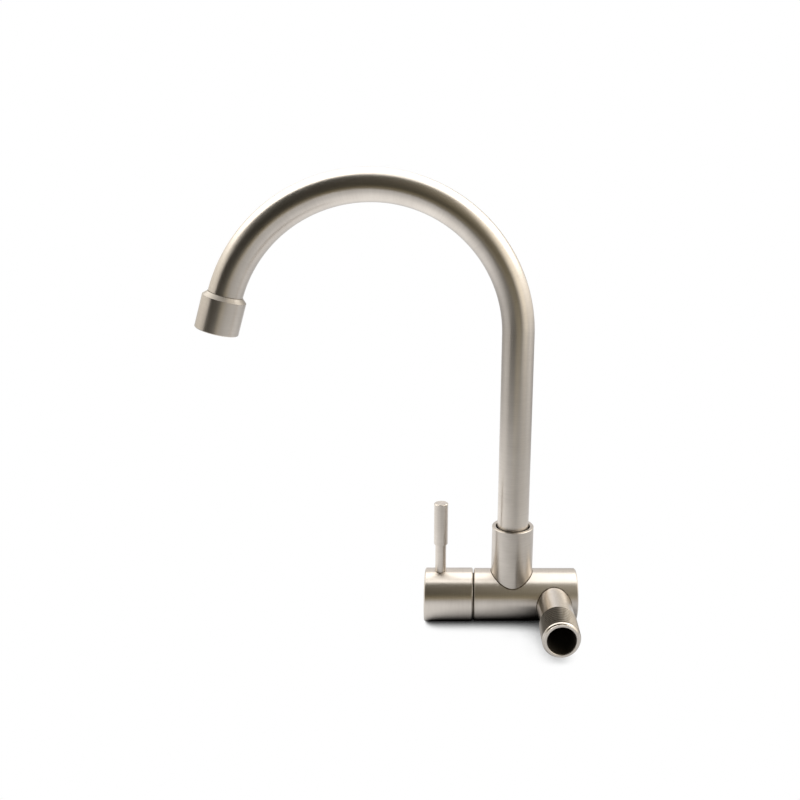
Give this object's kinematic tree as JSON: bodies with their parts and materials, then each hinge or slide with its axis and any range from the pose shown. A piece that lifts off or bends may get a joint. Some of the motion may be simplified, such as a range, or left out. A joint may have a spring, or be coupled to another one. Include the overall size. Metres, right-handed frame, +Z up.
{
  "type": "kitchen faucet",
  "caption": "Wall-mounted cold-water kitchen faucet in brushed steel, with a swivelling swan-neck spout and an upright pin lever that turns a ceramic valve.",
  "frame": {"origin": "centre of the inlet thread's shoulder, in the plane of the finished wall", "axes": "+Y along the inlet thread into the wall, +X along the body to the handle, +Z up along the spout's riser; the user stands on the -Y side"},
  "size_m": [0.212, 0.0672, 0.2567],
  "materials": {
    "steel": "satin brushed",
    "brass": "turned",
    "ceramic": "lapped",
    "rubber": "moulded",
    "white_plastic": "moulded",
    "spring_steel": "as stamped"
  },
  "bodies": {
    "body": {"body_barrel": "steel", "spout_socket": "steel", "inlet_nipple": "steel", "headwork_body": "brass", "headwork_o_ring": "rubber", "seat_seal": "rubber", "fixed_disc": "ceramic", "thrust_washer": "white_plastic", "swivel_washer": "white_plastic"},
    "handle": {"spindle": "brass", "spindle_o_ring_inner": "rubber", "spindle_o_ring_outer": "rubber", "moving_disc": "ceramic", "stop_washer": "spring_steel", "spindle_clip": "spring_steel", "handle_hub": "steel", "lever_pin": "steel", "hub_grub_screw": "spring_steel"},
    "spout": {"spout_tube": "steel", "spout_spigot": "steel", "spigot_o_ring_lower": "rubber", "spigot_o_ring_upper": "rubber", "snap_ring": "spring_steel", "outlet_sleeve": "steel", "aerator_washer": "rubber", "aerator_ring": "brass", "aerator_core": "white_plastic", "aerator_screen": "spring_steel", "aerator_grille": "white_plastic"}
  },
  "joints": [
    {"name": "handle_turn", "type": "hinge", "parent": "body", "child": "handle", "pos_m": [0.046, -0.034, 0], "axis": [1, 0, 0], "range_deg": [0, 90]},
    {"name": "spout_swivel", "type": "hinge", "parent": "body", "child": "spout", "pos_m": [0.024, -0.034, 0.0425], "axis": [0, 0, 1], "continuous": true}
  ]
}
